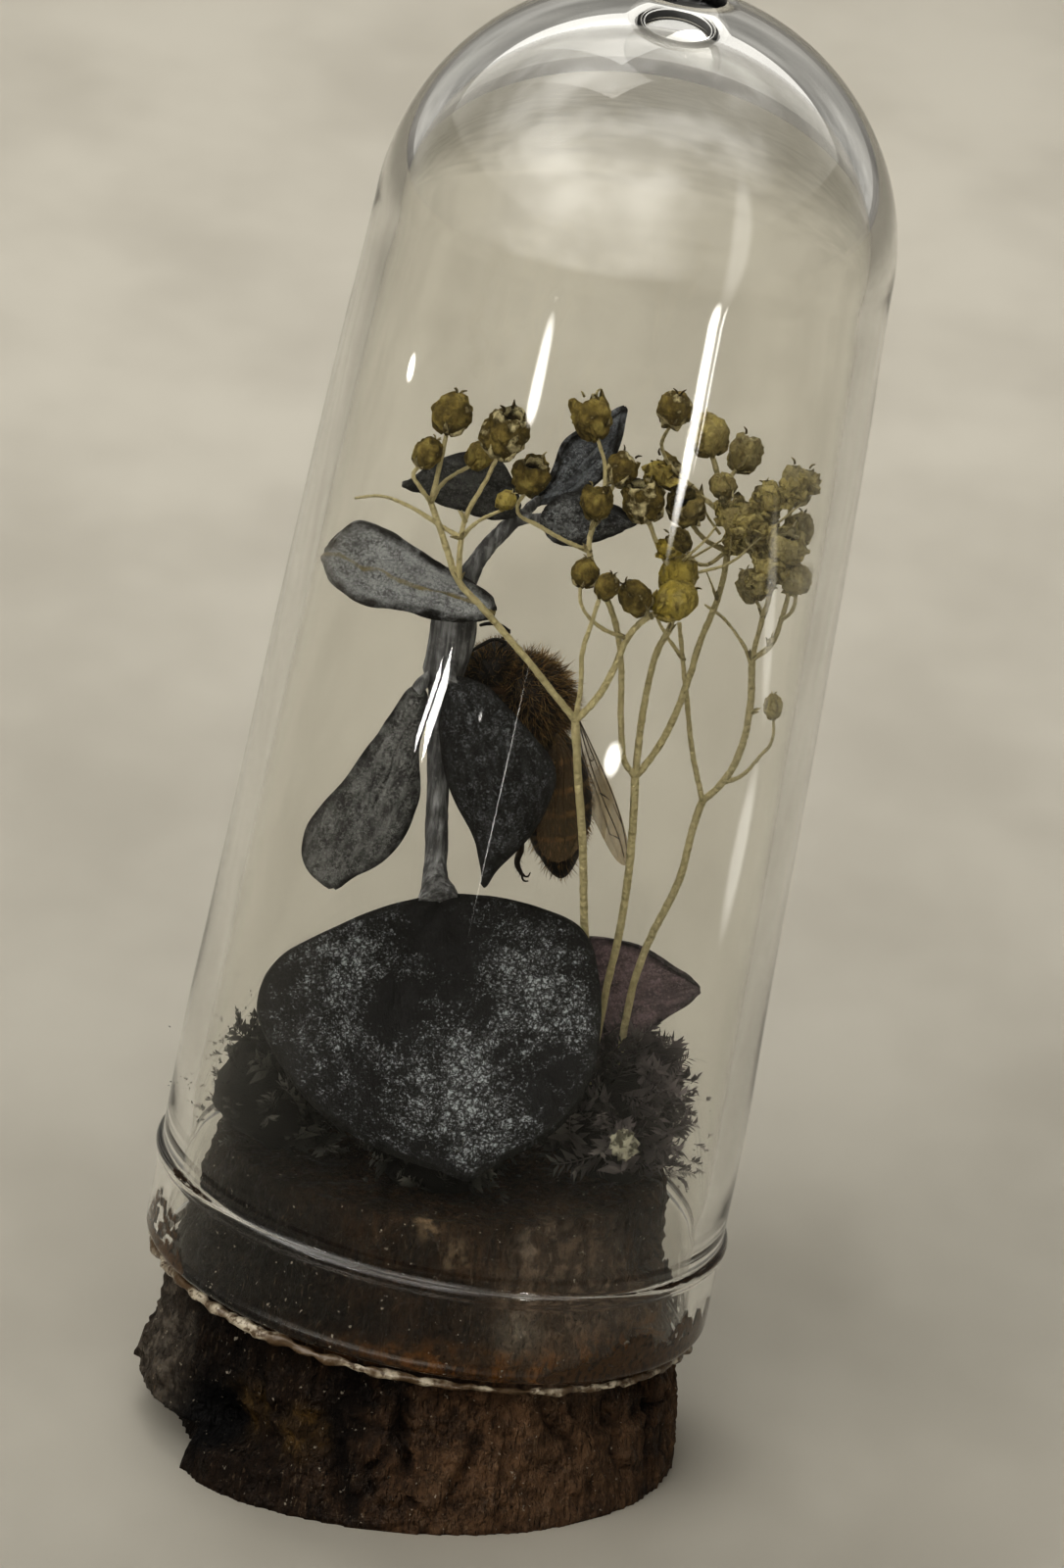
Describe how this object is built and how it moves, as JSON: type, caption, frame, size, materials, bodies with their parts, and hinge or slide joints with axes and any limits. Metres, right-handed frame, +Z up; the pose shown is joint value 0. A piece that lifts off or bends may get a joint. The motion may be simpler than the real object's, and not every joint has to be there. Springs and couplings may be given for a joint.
{
  "type": "insect in glass dome",
  "caption": "Small clear glass dome glued on a rough bark cork, with a dried honeybee on a leafy grey sprig, seed stems and dark moss inside.",
  "frame": {"origin": "middle of the cork's flat foot, where it rests", "axes": "+Z up along the object's height, front of the picture towards -Y, +X to its right"},
  "size_m": [0.0341, 0.0308, 0.0893],
  "materials": {
    "clear_glass": "clear, smooth, slightly warm",
    "dried_glue": "pale dried glue, lumpy",
    "dark_bark": "dark stained bark, rough",
    "dead_moss": "dead moss, matt",
    "pale_flake": "pale lichen, matt",
    "dried_leaf": "dried leaf with a pale powdery bloom",
    "grey_stem": "dry streaky grey bark",
    "olive_spray": "dry straw and olive, matt",
    "bee_body": "dark brown, fuzzy",
    "bee_wing": "thin veined membrane"
  },
  "bodies": {
    "root": {"glass_dome": "clear_glass", "glue_bead": "dried_glue", "cork_base": "dark_bark", "moss_left": "dead_moss", "moss_middle": "dead_moss", "moss_right": "dead_moss", "lichen_flake": "pale_flake", "eucalyptus_stem": "grey_stem", "eucalyptus_twig": "grey_stem", "leaf_front": "dried_leaf", "leaf_back_right": "dried_leaf", "leaf_drooping_left": "dried_leaf", "leaf_drooping_right": "dried_leaf", "leaf_oval_left": "dried_leaf", "leaf_top_left": "dried_leaf", "leaf_top_up": "dried_leaf", "leaf_top_right": "dried_leaf", "bee_body": "bee_body", "bee_wing_near": "bee_wing", "bee_wing_far": "bee_wing", "spray_a_stem": "olive_spray", "spray_a_left": "olive_spray", "spray_a_right": "olive_spray", "spray_b_stem": "olive_spray", "spray_b_left": "olive_spray", "spray_b_middle": "olive_spray", "spray_b_right": "olive_spray", "spray_c_stem": "olive_spray", "spray_c_left": "olive_spray", "spray_c_right": "olive_spray"}
  },
  "joints": []
}
